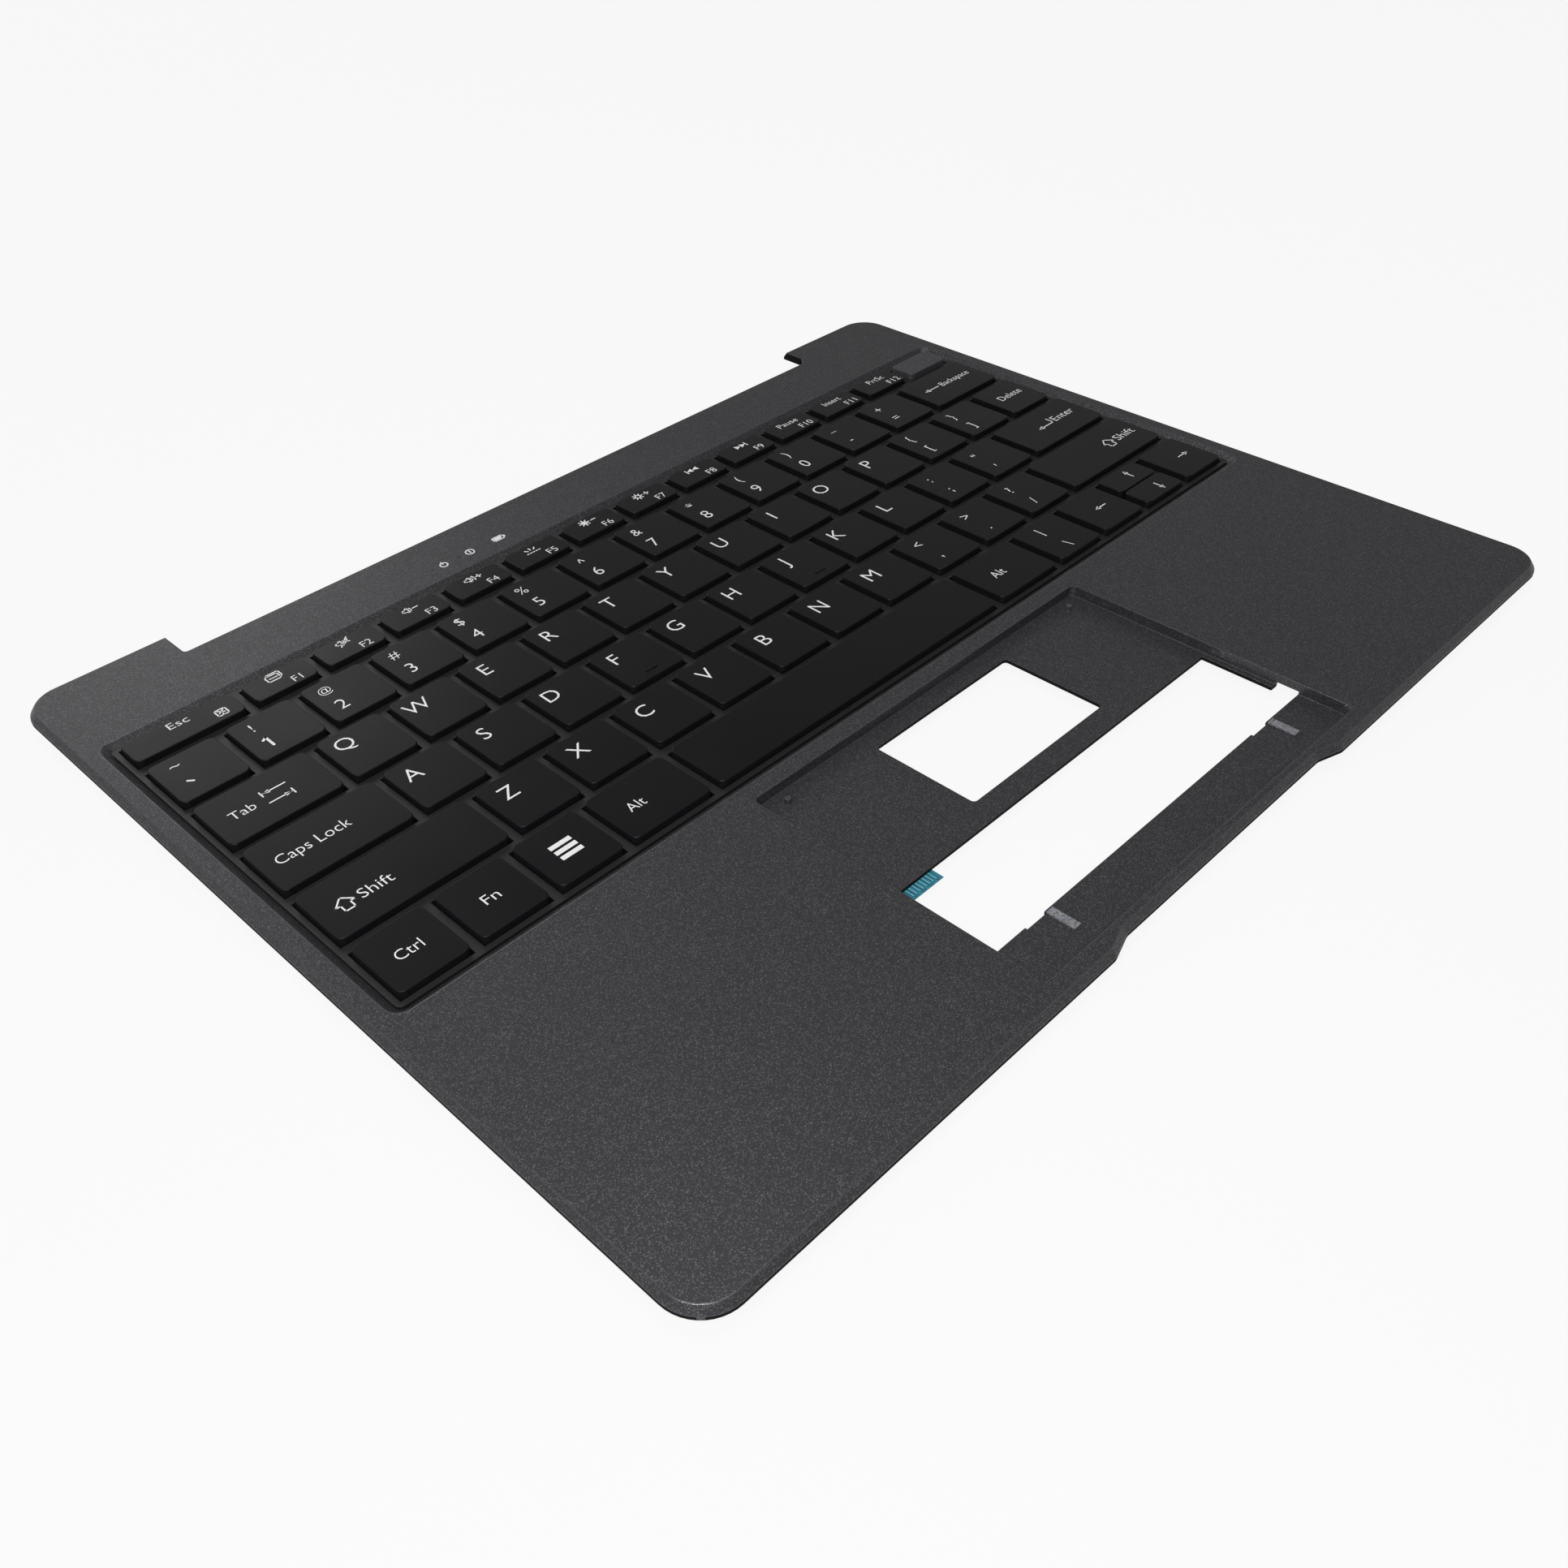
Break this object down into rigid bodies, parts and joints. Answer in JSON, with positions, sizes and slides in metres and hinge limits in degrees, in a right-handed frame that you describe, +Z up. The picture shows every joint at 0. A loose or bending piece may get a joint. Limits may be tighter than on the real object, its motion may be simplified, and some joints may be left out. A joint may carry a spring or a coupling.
{
  "type": "laptop top case with keyboard",
  "caption": "Flat bevelled laptop palm-rest cover with a sunk keyboard of scissor-hinged keys, an open touchpad recess and screw bosses underneath.",
  "frame": {"origin": "under the middle of the case, on the plane of the screw bosses' ends", "axes": "+X to the typist's right, +Y towards the screen hinge, +Z up out of the keys"},
  "size_m": [0.291, 0.2224, 0.0068],
  "materials": {
    "case_paint": "metallic grey paint, satin",
    "grille_plastic": "moulded, satin",
    "key_plastic": "satin soft-touch coat",
    "button_paint": "metallic grey paint, satin",
    "membrane_film": "printed polyester film",
    "plate_steel": "pressed sheet",
    "backlight_film": "black film",
    "dome_rubber": "moulded silicone",
    "hinge_plastic": "moulded",
    "strip_adhesive": "textured adhesive film"
  },
  "bodies": {
    "case": {"top_case": "case_paint", "key_grille": "grille_plastic", "membrane": "membrane_film", "support_plate": "plate_steel", "backlight_panel": "backlight_film", "rubber_domes": "dome_rubber", "scissor_hinges": "hinge_plastic", "touchpad_strips": "strip_adhesive", "upper_row_keys": "key_plastic"},
    "key_a": {"key_a": "key_plastic"},
    "key_alt_left": {"key_alt_left": "key_plastic"},
    "key_alt_right": {"key_alt_right": "key_plastic"},
    "key_arrow_down": {"key_arrow_down": "key_plastic"},
    "key_arrow_left": {"key_arrow_left": "key_plastic"},
    "key_arrow_right": {"key_arrow_right": "key_plastic"},
    "key_arrow_up": {"key_arrow_up": "key_plastic"},
    "key_b": {"key_b": "key_plastic"},
    "key_backslash": {"key_backslash": "key_plastic"},
    "key_bracket_left": {"key_bracket_left": "key_plastic"},
    "key_bracket_right": {"key_bracket_right": "key_plastic"},
    "key_c": {"key_c": "key_plastic"},
    "key_caps_lock": {"key_caps_lock": "key_plastic"},
    "key_comma": {"key_comma": "key_plastic"},
    "key_ctrl": {"key_ctrl": "key_plastic"},
    "key_d": {"key_d": "key_plastic"},
    "key_delete": {"key_delete": "key_plastic"},
    "key_e": {"key_e": "key_plastic"},
    "key_enter": {"key_enter": "key_plastic"},
    "key_f": {"key_f": "key_plastic"},
    "key_fn": {"key_fn": "key_plastic"},
    "key_g": {"key_g": "key_plastic"},
    "key_h": {"key_h": "key_plastic"},
    "key_i": {"key_i": "key_plastic"},
    "key_j": {"key_j": "key_plastic"},
    "key_k": {"key_k": "key_plastic"},
    "key_l": {"key_l": "key_plastic"},
    "key_m": {"key_m": "key_plastic"},
    "key_menu": {"key_menu": "key_plastic"},
    "key_n": {"key_n": "key_plastic"},
    "key_o": {"key_o": "key_plastic"},
    "key_p": {"key_p": "key_plastic"},
    "key_period": {"key_period": "key_plastic"},
    "key_q": {"key_q": "key_plastic"},
    "key_quote": {"key_quote": "key_plastic"},
    "key_r": {"key_r": "key_plastic"},
    "key_s": {"key_s": "key_plastic"},
    "key_semicolon": {"key_semicolon": "key_plastic"},
    "key_shift_left": {"key_shift_left": "key_plastic"},
    "key_shift_right": {"key_shift_right": "key_plastic"},
    "key_slash": {"key_slash": "key_plastic"},
    "key_space": {"key_space": "key_plastic"},
    "key_t": {"key_t": "key_plastic"},
    "key_tab": {"key_tab": "key_plastic"},
    "key_u": {"key_u": "key_plastic"},
    "key_v": {"key_v": "key_plastic"},
    "key_w": {"key_w": "key_plastic"},
    "key_x": {"key_x": "key_plastic"},
    "key_y": {"key_y": "key_plastic"},
    "key_z": {"key_z": "key_plastic"},
    "power_button": {"power_button": "button_paint"}
  },
  "joints": [
    {"name": "key_a_press", "type": "slide", "parent": "case", "child": "key_a", "axis": [0, 0, -1], "range_m": [0, 0.0014], "stiffness_N_per_m": 400, "deforming": ["rubber_domes", "scissor_hinges"]},
    {"name": "key_alt_left_press", "type": "slide", "parent": "case", "child": "key_alt_left", "axis": [0, 0, -1], "range_m": [0, 0.0014], "stiffness_N_per_m": 400, "deforming": ["rubber_domes", "scissor_hinges"]},
    {"name": "key_alt_right_press", "type": "slide", "parent": "case", "child": "key_alt_right", "axis": [0, 0, -1], "range_m": [0, 0.0014], "stiffness_N_per_m": 400, "deforming": ["rubber_domes", "scissor_hinges"]},
    {"name": "key_arrow_down_press", "type": "slide", "parent": "case", "child": "key_arrow_down", "axis": [0, 0, -1], "range_m": [0, 0.0014], "stiffness_N_per_m": 400, "deforming": ["rubber_domes", "scissor_hinges"]},
    {"name": "key_arrow_left_press", "type": "slide", "parent": "case", "child": "key_arrow_left", "axis": [0, 0, -1], "range_m": [0, 0.0014], "stiffness_N_per_m": 400, "deforming": ["rubber_domes", "scissor_hinges"]},
    {"name": "key_arrow_right_press", "type": "slide", "parent": "case", "child": "key_arrow_right", "axis": [0, 0, -1], "range_m": [0, 0.0014], "stiffness_N_per_m": 400, "deforming": ["rubber_domes", "scissor_hinges"]},
    {"name": "key_arrow_up_press", "type": "slide", "parent": "case", "child": "key_arrow_up", "axis": [0, 0, -1], "range_m": [0, 0.0014], "stiffness_N_per_m": 400, "deforming": ["rubber_domes", "scissor_hinges"]},
    {"name": "key_b_press", "type": "slide", "parent": "case", "child": "key_b", "axis": [0, 0, -1], "range_m": [0, 0.0014], "stiffness_N_per_m": 400, "deforming": ["rubber_domes", "scissor_hinges"]},
    {"name": "key_backslash_press", "type": "slide", "parent": "case", "child": "key_backslash", "axis": [0, 0, -1], "range_m": [0, 0.0014], "stiffness_N_per_m": 400, "deforming": ["rubber_domes", "scissor_hinges"]},
    {"name": "key_bracket_left_press", "type": "slide", "parent": "case", "child": "key_bracket_left", "axis": [0, 0, -1], "range_m": [0, 0.0014], "stiffness_N_per_m": 400, "deforming": ["rubber_domes", "scissor_hinges"]},
    {"name": "key_bracket_right_press", "type": "slide", "parent": "case", "child": "key_bracket_right", "axis": [0, 0, -1], "range_m": [0, 0.0014], "stiffness_N_per_m": 400, "deforming": ["rubber_domes", "scissor_hinges"]},
    {"name": "key_c_press", "type": "slide", "parent": "case", "child": "key_c", "axis": [0, 0, -1], "range_m": [0, 0.0014], "stiffness_N_per_m": 400, "deforming": ["rubber_domes", "scissor_hinges"]},
    {"name": "key_caps_lock_press", "type": "slide", "parent": "case", "child": "key_caps_lock", "axis": [0, 0, -1], "range_m": [0, 0.0014], "stiffness_N_per_m": 400, "deforming": ["rubber_domes", "scissor_hinges"]},
    {"name": "key_comma_press", "type": "slide", "parent": "case", "child": "key_comma", "axis": [0, 0, -1], "range_m": [0, 0.0014], "stiffness_N_per_m": 400, "deforming": ["rubber_domes", "scissor_hinges"]},
    {"name": "key_ctrl_press", "type": "slide", "parent": "case", "child": "key_ctrl", "axis": [0, 0, -1], "range_m": [0, 0.0014], "stiffness_N_per_m": 400, "deforming": ["rubber_domes", "scissor_hinges"]},
    {"name": "key_d_press", "type": "slide", "parent": "case", "child": "key_d", "axis": [0, 0, -1], "range_m": [0, 0.0014], "stiffness_N_per_m": 400, "deforming": ["rubber_domes", "scissor_hinges"]},
    {"name": "key_delete_press", "type": "slide", "parent": "case", "child": "key_delete", "axis": [0, 0, -1], "range_m": [0, 0.0014], "stiffness_N_per_m": 400, "deforming": ["rubber_domes", "scissor_hinges"]},
    {"name": "key_e_press", "type": "slide", "parent": "case", "child": "key_e", "axis": [0, 0, -1], "range_m": [0, 0.0014], "stiffness_N_per_m": 400, "deforming": ["rubber_domes", "scissor_hinges"]},
    {"name": "key_enter_press", "type": "slide", "parent": "case", "child": "key_enter", "axis": [0, 0, -1], "range_m": [0, 0.0014], "stiffness_N_per_m": 400, "deforming": ["rubber_domes", "scissor_hinges"]},
    {"name": "key_f_press", "type": "slide", "parent": "case", "child": "key_f", "axis": [0, 0, -1], "range_m": [0, 0.0014], "stiffness_N_per_m": 400, "deforming": ["rubber_domes", "scissor_hinges"]},
    {"name": "key_fn_press", "type": "slide", "parent": "case", "child": "key_fn", "axis": [0, 0, -1], "range_m": [0, 0.0014], "stiffness_N_per_m": 400, "deforming": ["rubber_domes", "scissor_hinges"]},
    {"name": "key_g_press", "type": "slide", "parent": "case", "child": "key_g", "axis": [0, 0, -1], "range_m": [0, 0.0014], "stiffness_N_per_m": 400, "deforming": ["rubber_domes", "scissor_hinges"]},
    {"name": "key_h_press", "type": "slide", "parent": "case", "child": "key_h", "axis": [0, 0, -1], "range_m": [0, 0.0014], "stiffness_N_per_m": 400, "deforming": ["rubber_domes", "scissor_hinges"]},
    {"name": "key_i_press", "type": "slide", "parent": "case", "child": "key_i", "axis": [0, 0, -1], "range_m": [0, 0.0014], "stiffness_N_per_m": 400, "deforming": ["rubber_domes", "scissor_hinges"]},
    {"name": "key_j_press", "type": "slide", "parent": "case", "child": "key_j", "axis": [0, 0, -1], "range_m": [0, 0.0014], "stiffness_N_per_m": 400, "deforming": ["rubber_domes", "scissor_hinges"]},
    {"name": "key_k_press", "type": "slide", "parent": "case", "child": "key_k", "axis": [0, 0, -1], "range_m": [0, 0.0014], "stiffness_N_per_m": 400, "deforming": ["rubber_domes", "scissor_hinges"]},
    {"name": "key_l_press", "type": "slide", "parent": "case", "child": "key_l", "axis": [0, 0, -1], "range_m": [0, 0.0014], "stiffness_N_per_m": 400, "deforming": ["rubber_domes", "scissor_hinges"]},
    {"name": "key_m_press", "type": "slide", "parent": "case", "child": "key_m", "axis": [0, 0, -1], "range_m": [0, 0.0014], "stiffness_N_per_m": 400, "deforming": ["rubber_domes", "scissor_hinges"]},
    {"name": "key_menu_press", "type": "slide", "parent": "case", "child": "key_menu", "axis": [0, 0, -1], "range_m": [0, 0.0014], "stiffness_N_per_m": 400, "deforming": ["rubber_domes", "scissor_hinges"]},
    {"name": "key_n_press", "type": "slide", "parent": "case", "child": "key_n", "axis": [0, 0, -1], "range_m": [0, 0.0014], "stiffness_N_per_m": 400, "deforming": ["rubber_domes", "scissor_hinges"]},
    {"name": "key_o_press", "type": "slide", "parent": "case", "child": "key_o", "axis": [0, 0, -1], "range_m": [0, 0.0014], "stiffness_N_per_m": 400, "deforming": ["rubber_domes", "scissor_hinges"]},
    {"name": "key_p_press", "type": "slide", "parent": "case", "child": "key_p", "axis": [0, 0, -1], "range_m": [0, 0.0014], "stiffness_N_per_m": 400, "deforming": ["rubber_domes", "scissor_hinges"]},
    {"name": "key_period_press", "type": "slide", "parent": "case", "child": "key_period", "axis": [0, 0, -1], "range_m": [0, 0.0014], "stiffness_N_per_m": 400, "deforming": ["rubber_domes", "scissor_hinges"]},
    {"name": "key_q_press", "type": "slide", "parent": "case", "child": "key_q", "axis": [0, 0, -1], "range_m": [0, 0.0014], "stiffness_N_per_m": 400, "deforming": ["rubber_domes", "scissor_hinges"]},
    {"name": "key_quote_press", "type": "slide", "parent": "case", "child": "key_quote", "axis": [0, 0, -1], "range_m": [0, 0.0014], "stiffness_N_per_m": 400, "deforming": ["rubber_domes", "scissor_hinges"]},
    {"name": "key_r_press", "type": "slide", "parent": "case", "child": "key_r", "axis": [0, 0, -1], "range_m": [0, 0.0014], "stiffness_N_per_m": 400, "deforming": ["rubber_domes", "scissor_hinges"]},
    {"name": "key_s_press", "type": "slide", "parent": "case", "child": "key_s", "axis": [0, 0, -1], "range_m": [0, 0.0014], "stiffness_N_per_m": 400, "deforming": ["rubber_domes", "scissor_hinges"]},
    {"name": "key_semicolon_press", "type": "slide", "parent": "case", "child": "key_semicolon", "axis": [0, 0, -1], "range_m": [0, 0.0014], "stiffness_N_per_m": 400, "deforming": ["rubber_domes", "scissor_hinges"]},
    {"name": "key_shift_left_press", "type": "slide", "parent": "case", "child": "key_shift_left", "axis": [0, 0, -1], "range_m": [0, 0.0014], "stiffness_N_per_m": 400, "deforming": ["rubber_domes", "scissor_hinges"]},
    {"name": "key_shift_right_press", "type": "slide", "parent": "case", "child": "key_shift_right", "axis": [0, 0, -1], "range_m": [0, 0.0014], "stiffness_N_per_m": 400, "deforming": ["rubber_domes", "scissor_hinges"]},
    {"name": "key_slash_press", "type": "slide", "parent": "case", "child": "key_slash", "axis": [0, 0, -1], "range_m": [0, 0.0014], "stiffness_N_per_m": 400, "deforming": ["rubber_domes", "scissor_hinges"]},
    {"name": "key_space_press", "type": "slide", "parent": "case", "child": "key_space", "axis": [0, 0, -1], "range_m": [0, 0.0014], "stiffness_N_per_m": 400, "deforming": ["rubber_domes", "scissor_hinges"]},
    {"name": "key_t_press", "type": "slide", "parent": "case", "child": "key_t", "axis": [0, 0, -1], "range_m": [0, 0.0014], "stiffness_N_per_m": 400, "deforming": ["rubber_domes", "scissor_hinges"]},
    {"name": "key_tab_press", "type": "slide", "parent": "case", "child": "key_tab", "axis": [0, 0, -1], "range_m": [0, 0.0014], "stiffness_N_per_m": 400, "deforming": ["rubber_domes", "scissor_hinges"]},
    {"name": "key_u_press", "type": "slide", "parent": "case", "child": "key_u", "axis": [0, 0, -1], "range_m": [0, 0.0014], "stiffness_N_per_m": 400, "deforming": ["rubber_domes", "scissor_hinges"]},
    {"name": "key_v_press", "type": "slide", "parent": "case", "child": "key_v", "axis": [0, 0, -1], "range_m": [0, 0.0014], "stiffness_N_per_m": 400, "deforming": ["rubber_domes", "scissor_hinges"]},
    {"name": "key_w_press", "type": "slide", "parent": "case", "child": "key_w", "axis": [0, 0, -1], "range_m": [0, 0.0014], "stiffness_N_per_m": 400, "deforming": ["rubber_domes", "scissor_hinges"]},
    {"name": "key_x_press", "type": "slide", "parent": "case", "child": "key_x", "axis": [0, 0, -1], "range_m": [0, 0.0014], "stiffness_N_per_m": 400, "deforming": ["rubber_domes", "scissor_hinges"]},
    {"name": "key_y_press", "type": "slide", "parent": "case", "child": "key_y", "axis": [0, 0, -1], "range_m": [0, 0.0014], "stiffness_N_per_m": 400, "deforming": ["rubber_domes", "scissor_hinges"]},
    {"name": "key_z_press", "type": "slide", "parent": "case", "child": "key_z", "axis": [0, 0, -1], "range_m": [0, 0.0014], "stiffness_N_per_m": 400, "deforming": ["rubber_domes", "scissor_hinges"]},
    {"name": "power_button_press", "type": "slide", "parent": "case", "child": "power_button", "axis": [0, 0, -1], "range_m": [0, 0.0014], "stiffness_N_per_m": 400, "deforming": ["rubber_domes", "scissor_hinges"]}
  ]
}
